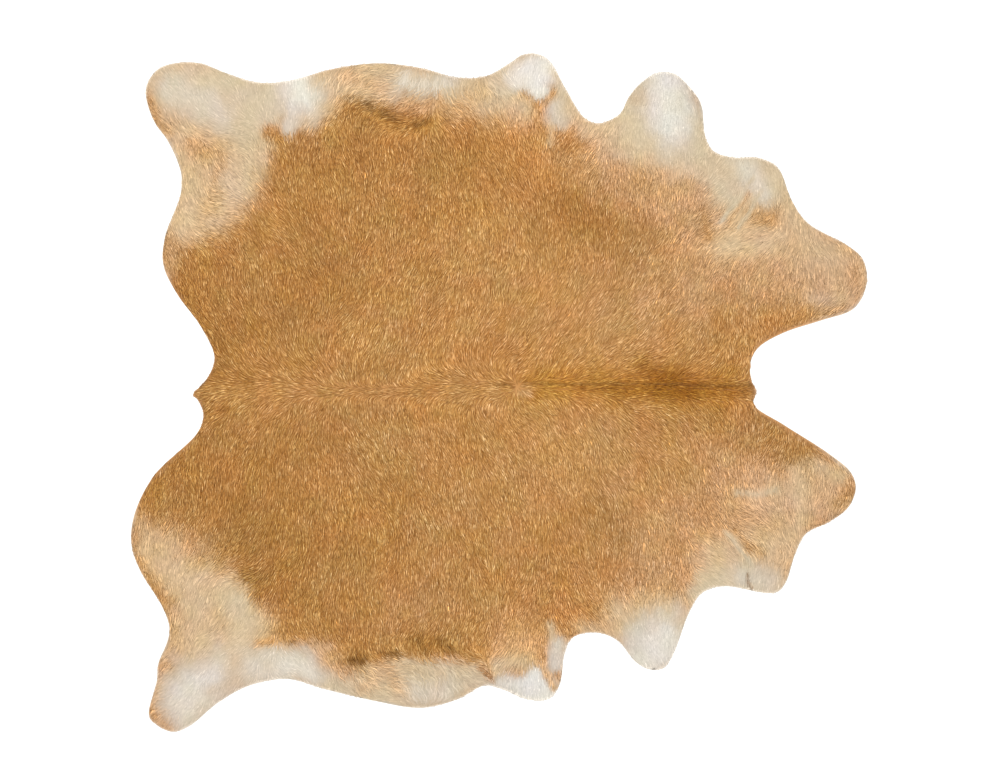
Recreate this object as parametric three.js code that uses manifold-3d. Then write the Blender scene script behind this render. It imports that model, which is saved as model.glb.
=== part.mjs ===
// A hair-on cowhide rug: one whole hide, lying flat on a floor with its hair side up.
// Millimetres, +Z up. The spine runs along X, with the neck towards +X and the tail towards -X.
// The underside is the flat flesh side at z = 0. The upper side is the lie of the hair,
// with the low ridges and troughs that a tanned hide keeps from the animal's shape.

import * as THREE from "three";
import { mergeVertices } from "three/addons/utils/BufferGeometryUtils.js";
import Module from "manifold-3d";

// Driving dimensions
const CUT_EDGE = 3.5; // the leather with its clipped hair, at the cut rim
const BODY_THICKNESS = 6.5; // the leather with the hair lying on it, inside the rim
const ROLL_OFF = 75; // how far in from the rim the hair takes to reach its full height
const RIM_STEP = 16; // length of one straight step along the rim
const RIM_CHORDS = 4000; // fine chords that the length of the rim is measured with
const RELIEF_STEP = 36; // width of one facet of the upper side
const BLOCK_HEIGHT = 40; // the stock that the rim and the upper side are cut from

// The rim, clockwise as seen from above, starting at the hind leg on the +Y side.
// Each row is one stretch of the cut line, with its places as [x, y].
const RIM = [
  {
    stretch: "hind leg, +Y",
    places: [[-1105, 940], [-1090, 985], [-1060, 1015], [-1010, 1030], [-935, 1030], [-855, 1000]],
  },
  { stretch: "groin, +Y", places: [[-755, 970], [-655, 975]] },
  { stretch: "belly, +Y", places: [[-530, 1010], [-380, 1030], [-245, 1015], [-130, 985], [-40, 990]] },
  { stretch: "flank lobe, +Y", places: [[40, 1035], [70, 1055], [110, 1060], [155, 1040], [205, 955]] },
  { stretch: "bay before the foreleg, +Y", places: [[265, 860], [305, 842], [345, 852], [380, 875]] },
  {
    stretch: "foreleg, +Y",
    places: [[405, 925], [445, 970], [495, 1000], [550, 995], [595, 955], [630, 905]],
  },
  { stretch: "armpit, +Y", places: [[645, 800], [670, 755]] },
  { stretch: "chest lobe, +Y", places: [[735, 735], [805, 735], [870, 705]] },
  { stretch: "side of the neck, +Y", places: [[915, 600], [965, 530]] },
  { stretch: "neck flap, +Y", places: [[1090, 460], [1135, 420], [1150, 365], [1140, 310], [1105, 260]] },
  { stretch: "neck notch, +Y", places: [[1005, 225], [885, 185], [808, 138], [785, 90], [790, 35]] },
  { stretch: "tuft at the nape", places: [[805, 5], [795, -35]] },
  { stretch: "neck notch, -Y", places: [[890, -100], [1030, -190]] },
  { stretch: "neck flap, -Y", places: [[1100, -250], [1115, -300], [1090, -360], [1030, -405]] },
  { stretch: "side of the neck, -Y", places: [[960, -440], [925, -505]] },
  { stretch: "chest lobe, -Y", places: [[895, -595], [865, -625]] },
  { stretch: "armpit, -Y", places: [[700, -605], [635, -625]] },
  { stretch: "foreleg, -Y", places: [[595, -685], [545, -815], [515, -860], [470, -865], [425, -840]] },
  { stretch: "bay before the foreleg, -Y", places: [[370, -775], [305, -750], [230, -765], [205, -815]] },
  { stretch: "flank lobe, -Y", places: [[190, -910], [160, -955], [95, -960], [5, -925]] },
  { stretch: "belly, -Y", places: [[-45, -915], [-135, -960], [-245, -985], [-380, -965], [-550, -925]] },
  { stretch: "groin, -Y", places: [[-660, -895], [-780, -915]] },
  {
    stretch: "hind leg, -Y",
    places: [[-880, -970], [-965, -1040], [-1020, -1060], [-1075, -1035], [-1095, -1010]],
  },
  {
    stretch: "thigh, -Y",
    places: [[-1070, -900], [-1065, -845], [-1040, -785], [-1030, -740], [-1050, -675]],
  },
  {
    stretch: "rump, -Y",
    places: [[-1125, -550], [-1150, -470], [-1140, -380], [-1080, -260], [-940, -120]],
  },
  {
    stretch: "root of the tail",
    places: [[-925, -65], [-940, -25], [-960, -5], [-940, 15], [-910, 50], [-890, 110]],
  },
  { stretch: "rump, +Y", places: [[-935, 210], [-1005, 305], [-1050, 400], [-1045, 485]] },
  { stretch: "thigh, +Y", places: [[-995, 625], [-995, 690], [-1035, 785], [-1080, 850]] },
];

// Ridges and troughs of the upper side, each a soft line from one [x, y] to another.
// rise is its height over the body, below zero in a trough, and spread is how wide it lies.
const FOLDS = [
  { fold: "ridge of hair along the spine", from: [-900, 8], to: [760, 8], rise: 1.5, spread: 45 },
  { fold: "tuft of long hair at the nape", from: [775, -20], to: [790, 5], rise: 3, spread: 30 },
  { fold: "pad of long flank hair, +Y", from: [-480, 955], to: [-235, 960], rise: 4.5, spread: 42 },
  { fold: "fore end of that pad", from: [-160, 945], to: [-70, 915], rise: 3.5, spread: 38 },
  { fold: "crease behind that pad", from: [-480, 900], to: [-215, 835], rise: -2, spread: 34 },
  { fold: "pad of long flank hair, -Y", from: [-420, -880], to: [-260, -925], rise: 4.5, spread: 42 },
  { fold: "fore end of that pad", from: [-185, -925], to: [-90, -885], rise: 3.5, spread: 38 },
  { fold: "crease behind that pad", from: [-450, -820], to: [-150, -760], rise: -2, spread: 34 },
  { fold: "rear skin fold of the foreleg, +Y", from: [678, 492], to: [806, 623], rise: 3, spread: 26 },
  { fold: "front skin fold of the foreleg, +Y", from: [737, 445], to: [847, 586], rise: 2.5, spread: 26 },
  { fold: "skin fold of the foreleg, -Y", from: [706, -445], to: [790, -590], rise: 3, spread: 28 },
  { fold: "swell over the hip, +Y", from: [-820, 700], to: [-700, 840], rise: 1.5, spread: 110 },
  { fold: "swell over the hip, -Y", from: [-880, -640], to: [-760, -760], rise: 1.5, spread: 110 },
];

// Slow waves that leave the whole hide a little uneven.
const SWELLS = [
  { heading: 20, length: 520, height: 0.45 },
  { heading: 75, length: 390, height: 0.4 },
  { heading: 130, length: 290, height: 0.3 },
];

// The cut line as points a short step apart, moved so that the hide's box is centred on the origin.
function rimLine() {
  const places = RIM.flatMap((row) => row.places);
  const curve = new THREE.CatmullRomCurve3(
    places.map(([x, y]) => new THREE.Vector3(x, y, 0)),
    true,
    "centripetal",
  );
  curve.arcLengthDivisions = RIM_CHORDS;
  const steps = Math.round(curve.getLength() / RIM_STEP);
  const points = curve.getSpacedPoints(steps).slice(0, steps);
  const middle = new THREE.Box3().setFromPoints(points).getCenter(new THREE.Vector3());
  return points.map((point) => new THREE.Vector2(point.x - middle.x, point.y - middle.y));
}

// How far a place lies from the straight line between two others.
function distanceToLine(place, start, end) {
  const along = end.clone().sub(start);
  const share = place.clone().sub(start).dot(along) / along.lengthSq();
  return start.clone().addScaledVector(along, THREE.MathUtils.clamp(share, 0, 1)).distanceTo(place);
}

// How far a place lies in from the rim. It is 0 outside, where a line towards +X meets the rim
// an even number of times.
function distanceInside(place, rim) {
  let nearest = Infinity;
  let inside = false;
  rim.forEach((corner, index) => {
    const next = rim[(index + 1) % rim.length];
    nearest = Math.min(nearest, distanceToLine(place, corner, next));
    if (corner.y > place.y !== next.y > place.y) {
      const meets = corner.x + ((place.y - corner.y) * (next.x - corner.x)) / (next.y - corner.y);
      inside = inside !== meets > place.x;
    }
  });
  return inside ? nearest : 0;
}

// Height of the upper side over one place on the floor.
function upperSide(place, rim) {
  let body = BODY_THICKNESS;
  for (const { from, to, rise, spread } of FOLDS) {
    const away = distanceToLine(place, new THREE.Vector2(...from), new THREE.Vector2(...to)) / spread;
    body += rise * Math.exp(-away * away);
  }
  for (const { heading, length, height } of SWELLS) {
    const turn = THREE.MathUtils.degToRad(heading);
    const along = place.x * Math.cos(turn) + place.y * Math.sin(turn);
    body += height * Math.sin((2 * Math.PI * along) / length);
  }
  const risen = THREE.MathUtils.smoothstep(distanceInside(place, rim), 0, ROLL_OFF);
  return THREE.MathUtils.lerp(CUT_EDGE, body, risen);
}

// A block whose top is the upper side of the hide, and which reaches below the floor and past the rim.
function reliefBlock(rim) {
  const size = new THREE.Box2().setFromPoints(rim).getSize(new THREE.Vector2());
  const columns = Math.ceil(size.x / RELIEF_STEP) + 2;
  const rows = Math.ceil(size.y / RELIEF_STEP) + 2;
  const width = columns * RELIEF_STEP;
  const depth = rows * RELIEF_STEP;
  const block = new THREE.BoxGeometry(width, depth, BLOCK_HEIGHT, columns, rows, 1);
  const corners = block.getAttribute("position");
  for (let index = 0; index < corners.count; index += 1) {
    if (corners.getZ(index) > 0) {
      const place = new THREE.Vector2(corners.getX(index), corners.getY(index));
      corners.setZ(index, upperSide(place, rim));
    }
  }
  return block;
}

// The stock cut to the rim: straight walls that stand on the floor.
function cutStock(rim) {
  const upwards = { depth: BLOCK_HEIGHT, bevelEnabled: false, steps: 1 };
  return new THREE.ExtrudeGeometry(new THREE.Shape(rim), upwards);
}

const wasm = await Module();
wasm.setup();

// A closed three.js geometry as a solid that can be cut.
function solidFrom(geometry) {
  const bare = geometry.clone();
  bare.deleteAttribute("normal");
  bare.deleteAttribute("uv");
  const merged = mergeVertices(bare, 1e-4);
  return new wasm.Manifold(
    new wasm.Mesh({
      numProp: 3,
      vertProperties: new Float32Array(merged.getAttribute("position").array),
      triVerts: new Uint32Array(merged.getIndex().array),
    }),
  );
}

// A cut solid as a geometry again.
function geometryFrom(solid) {
  const mesh = solid.getMesh();
  const geometry = new THREE.BufferGeometry();
  geometry.setAttribute("position", new THREE.BufferAttribute(mesh.vertProperties, 3));
  geometry.setIndex(new THREE.BufferAttribute(mesh.triVerts, 1));
  geometry.computeVertexNormals();
  return geometry;
}

// The hide is one piece: the stock inside the rim, cut down to its upper side.
function makeHide() {
  const rim = rimLine();
  const hide = solidFrom(cutStock(rim)).intersect(solidFrom(reliefBlock(rim)));
  const coat = new THREE.MeshStandardMaterial({ color: 0xc08a50, roughness: 0.85, metalness: 0 });
  const mesh = new THREE.Mesh(geometryFrom(hide), coat);
  mesh.name = "hide";
  return mesh;
}

const cowhide = new THREE.Group();
cowhide.add(makeHide());

export default cowhide;
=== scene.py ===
# %% [markdown]
# A whole hair-on cowhide lies flat on a pale floor, and the camera looks straight down on it.
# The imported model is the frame: its node "hide" is one sheet, from the flesh side on the floor
# up to where the hair lies. Here that one node is dressed as what it really is, a thin leather
# that carries about two hundred thousand small locks of hair, all combed by the way that
# the hair grew on the animal.

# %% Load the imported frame
import math

import bmesh
import bpy
import numpy as np
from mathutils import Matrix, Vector
from mathutils.bvhtree import BVHTree


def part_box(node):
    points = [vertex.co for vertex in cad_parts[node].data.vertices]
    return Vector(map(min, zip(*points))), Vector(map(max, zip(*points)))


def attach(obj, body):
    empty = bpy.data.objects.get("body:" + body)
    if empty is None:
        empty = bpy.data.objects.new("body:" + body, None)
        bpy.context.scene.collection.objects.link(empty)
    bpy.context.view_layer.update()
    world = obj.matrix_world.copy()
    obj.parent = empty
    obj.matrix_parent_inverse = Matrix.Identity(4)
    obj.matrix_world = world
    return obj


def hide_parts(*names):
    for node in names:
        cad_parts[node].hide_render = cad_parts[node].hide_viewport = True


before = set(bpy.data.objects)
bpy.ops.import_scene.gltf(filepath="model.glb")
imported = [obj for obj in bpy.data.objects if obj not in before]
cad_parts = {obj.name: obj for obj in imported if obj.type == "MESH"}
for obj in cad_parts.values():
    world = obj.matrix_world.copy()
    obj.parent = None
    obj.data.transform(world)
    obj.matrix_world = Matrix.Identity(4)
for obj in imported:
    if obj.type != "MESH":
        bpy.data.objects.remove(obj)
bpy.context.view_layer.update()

MM = 0.001
hide_low, hide_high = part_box("hide")
print("hide of the frame, in mm:", [round(side / MM, 1) for side in hide_high - hide_low])

# %% [markdown]
# The camera hangs straight above the hide, as in the photo. The photo is 991 pixels wide, and one
# of its pixels is 3.125 mm on the hide, so a long lens high up gives the same flat view.
# Places on the hide are read from the photo and are named in its pixels. One function
# turns them into metres in the frame, so that every mark lands where it lies on the real hide.

# %% Camera straight above
PHOTO_SIZE = (991, 768)
PIXEL = 3.125 * MM
ORIGIN_PIXEL = (499.0, 392.5)  # where the frame's origin lies in the photo
LENS_MM = 85.0
SENSOR_MM = 36.0


def from_photo(places):
    """Places given as (across, down) in the photo's pixels, as x and y in metres."""
    places = np.asarray(places, float)
    x = (places[..., 0] - ORIGIN_PIXEL[0]) * PIXEL
    y = (ORIGIN_PIXEL[1] - places[..., 1]) * PIXEL
    return np.stack([x, y], axis=-1)


def add_object(name, data):
    """A new object in the scene, made of its data."""
    thing = bpy.data.objects.new(name, data)
    bpy.context.collection.objects.link(thing)
    return thing


view_middle = from_photo((PHOTO_SIZE[0] / 2, PHOTO_SIZE[1] / 2))
camera_height = PHOTO_SIZE[0] * PIXEL * LENS_MM / SENSOR_MM
camera_data = bpy.data.cameras.new("camera_above")
camera_data.lens = LENS_MM
camera_data.sensor_width = SENSOR_MM
camera_data.clip_end = 50.0
camera = add_object("camera_above", camera_data)
camera.location = (*view_middle, camera_height)
bpy.context.scene.camera = camera
print("camera height in m:", round(camera_height, 2))

# %% [markdown]
# Colours are written as sRGB hex values, as a dyer's chart would give them, and one function
# turns them into the linear light that shaders want. The palette holds the few hair colours of a
# caramel hide: the coat itself, its warmer and its darker hair, and the pale hair of the legs
# and the flanks.


# %% Colours of the hair
def linear(hex_colour):
    """An sRGB hex colour as linear red, green and blue."""
    channels = np.array([int(hex_colour[i : i + 2], 16) for i in (1, 3, 5)]) / 255
    return np.where(channels <= 0.04045, channels / 12.92, ((channels + 0.055) / 1.055) ** 2.4)


CARAMEL = "#B7854A"  # the main coat
GOLDEN = "#C18F53"  # sunlit, slightly yellower coat
ORANGE = "#C68D4F"  # warm rusty hair at the flanks
OCHRE = "#A67436"  # deeper coat
APRICOT = "#D8AB78"  # pale orange hair at the flanks
HONEY = "#B98033"  # yellow-brown hair beside the streak
UMBER = "#945C18"  # the dark streak on the neck
SHADE = "#775024"  # dark hair and painted shade in creases, the parting and a slit
BUFF = "#C79C6F"  # pinkish tan between the coat and the fawn
FAWN = "#CDAB86"  # pale pinkish tan of the neck
SAND = "#D8BC96"  # where the coat fades into cream
CREAM = "#DCC8A8"  # legs and pads
PALE = "#E2D6C4"  # the lightest cream
WHITE = "#F0E9DC"  # white flank and leg marks
CLIPPED_ENDS_AND_RIM_SHADOW = "#D6CEC2"  # grey of clipped ends over the pale cut edge, with painted shadow along the rim

# %% [markdown]
# Hair never lies quite evenly: neighbouring locks agree, and over a hand's width they drift.
# That is made with smooth noise of a known size: random values on a square grid, joined by
# soft curves. It is seeded, so that each run gives the same hide.

# %% Smooth noise of a known size
LATTICE = 256


def between(grid, row, next_row, column, next_column, share):
    """Values between four corners of a grid, at the given share of the way across and up."""
    near = grid[row, column] * (1 - share[..., 0]) + grid[row, next_column] * share[..., 0]
    far = grid[next_row, column] * (1 - share[..., 0]) + grid[next_row, next_column] * share[..., 0]
    return near * (1 - share[..., 1]) + far * share[..., 1]


def soft_noise(places, size, seed):
    """Smooth random values from -1 to 1 at places in metres, with hills `size` metres apart."""
    lattice = np.random.default_rng(seed).uniform(-1, 1, (LATTICE, LATTICE))
    steps = places / size + LATTICE / 2
    cell = np.floor(steps).astype(int)
    share = steps - cell
    share = share * share * (3 - 2 * share)
    column, row = cell[..., 0] % LATTICE, cell[..., 1] % LATTICE
    return between(lattice, row, (row + 1) % LATTICE, column, (column + 1) % LATTICE, share)


def drift_of(places, waves):
    """The sum of smooth noises, each given as its depth, its size in mm and its seed."""
    return sum(depth * soft_noise(places, size * MM, seed) for depth, size, seed in waves)


# %% [markdown]
# The leather is a sheet of chrome-tanned cowhide 2 to 3 mm thick, cut round its rim with a
# knife. It could be drawn anew, but the frame already holds its exact outline, so a copy of the
# node is merged and its upper side is lowered to make room for the hair. The folds stay in it
# softened, because thick hair hides most of them.

# %% Leather from the frame's own outline
CUT_EDGE = 3.5 * MM  # how high the frame's rim stands, with its clipped hair
LEATHER_AT_RIM = 2.3 * MM
FOLD_SHARE = 0.35  # how much of a fold's height is in the leather itself
UNDERSIDE_TOP = 0.5 * MM  # corners below this height belong to the underside
FLESH_SIDE, EDGE_SIDE, HAIR_SIDE = 0, 1, 2  # parts of the sheet, in the order of its materials

leather_shape = bmesh.new()
leather_shape.from_mesh(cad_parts["hide"].data)
bmesh.ops.remove_doubles(leather_shape, verts=leather_shape.verts, dist=0.01 * MM)
for vert in leather_shape.verts:
    if vert.co.z > UNDERSIDE_TOP:
        vert.co.z = LEATHER_AT_RIM + FOLD_SHARE * (vert.co.z - CUT_EDGE)
leather_shape.normal_update()


def side_of(face):
    """The part of the sheet that a face belongs to."""
    high = [vert.co.z > UNDERSIDE_TOP for vert in face.verts]
    return HAIR_SIDE if all(high) else EDGE_SIDE if any(high) else FLESH_SIDE


rim_edges = [
    edge
    for edge in leather_shape.edges
    if sorted(side_of(face) for face in edge.link_faces) == [EDGE_SIDE, HAIR_SIDE]
]
print("rim edges:", len(rim_edges))

# %% [markdown]
# The rim is the one place that everything else is measured from: hair grows inside it and is
# clipped just beyond it. Its corners are put in order by walking from edge to edge.


# %% Walk round the rim
def walk_round(edges):
    """The corners of one closed line of edges, in order, as x and y."""
    ways = {}
    for edge in edges:
        for vert in edge.verts:
            ways.setdefault(vert, []).append(edge.other_vert(vert))
    start = next(iter(ways))
    line, before, here = [start], None, start
    while True:
        onward = ways[here][0] if ways[here][0] != before else ways[here][1]
        if onward == start:
            break
        line.append(onward)
        before, here = here, onward
    return np.array([vert.co.xy for vert in line])


rim = walk_round(rim_edges)
print("corners of the rim:", len(rim))

# %% [markdown]
# How far a place lies in from the rim is needed a few hundred thousand times, so it is worked
# out once on a fine grid, and read from there. It is below zero outside the hide. The height of
# the leather is read from a grid in the same way.

# %% Grids of the distance to the rim and of the leather's height
GRID_STEP = 8 * MM
GRID_MARGIN = 40 * MM
grid_low = np.array(hide_low.xy) - GRID_MARGIN
grid_high = np.array(hide_high.xy) + GRID_MARGIN
grid_x = np.arange(grid_low[0], grid_high[0], GRID_STEP)
grid_y = np.arange(grid_low[1], grid_high[1], GRID_STEP)
grid_places = np.stack(np.meshgrid(grid_x, grid_y), axis=-1)


def distance_to_lines(places, starts, ends):
    """Shortest distance from each place to any of the straight lines."""
    nearest = np.full(places.shape[:-1], np.inf)
    for start, end in zip(starts, ends):
        along = end - start
        length = max(float(along @ along), 1e-12)
        share = np.clip(((places - start) @ along) / length, 0, 1)
        away = np.hypot(*np.moveaxis(places - start - share[..., None] * along, -1, 0))
        nearest = np.minimum(nearest, away)
    return nearest


def inside_line(places, corners):
    """True where a place lies inside the closed line."""
    inside = np.zeros(places.shape[:-1], bool)
    for (ax, ay), (bx, by) in zip(corners, np.roll(corners, -1, axis=0)):
        crosses = (ay > places[..., 1]) != (by > places[..., 1])
        meets = ax + (places[..., 1] - ay) * (bx - ax) / (by - ay if by != ay else 1)
        inside ^= crosses & (places[..., 0] < meets)
    return inside


def read_grid(grid, places):
    """Values of a grid at places between its corners."""
    steps = (places - grid_low) / GRID_STEP
    cell = np.clip(np.floor(steps).astype(int), 0, (len(grid_x) - 2, len(grid_y) - 2))
    share = np.clip(steps - cell, 0, 1)
    column, row = cell[..., 0], cell[..., 1]
    return between(grid, row, row + 1, column, column + 1, share)


rim_distance_grid = distance_to_lines(grid_places, rim, np.roll(rim, -1, axis=0))
rim_distance_grid[~inside_line(grid_places, rim)] *= -1
leather_tree = BVHTree.FromBMesh(leather_shape)
leather_top_grid = np.full(rim_distance_grid.shape, LEATHER_AT_RIM)
for row, column in zip(*np.nonzero(rim_distance_grid > 0)):
    above = Vector((grid_x[column], grid_y[row], 1.0))
    hit = leather_tree.ray_cast(above, Vector((0, 0, -1)))[0]
    if hit:
        leather_top_grid[row, column] = hit.z
print("leather is up to", round(leather_top_grid.max() / MM, 2), "mm thick")

# %% [markdown]
# The coat is caramel, and it pales to cream and white at the legs, the flanks and the chest.
# Each mark is a soft line of places with a reach, as an airbrush would lay it down, one after
# the other. The edge of a mark is ragged, because it is made of hairs of two colours, so the
# places are shaken a little by smooth noise before they are looked up.

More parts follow.
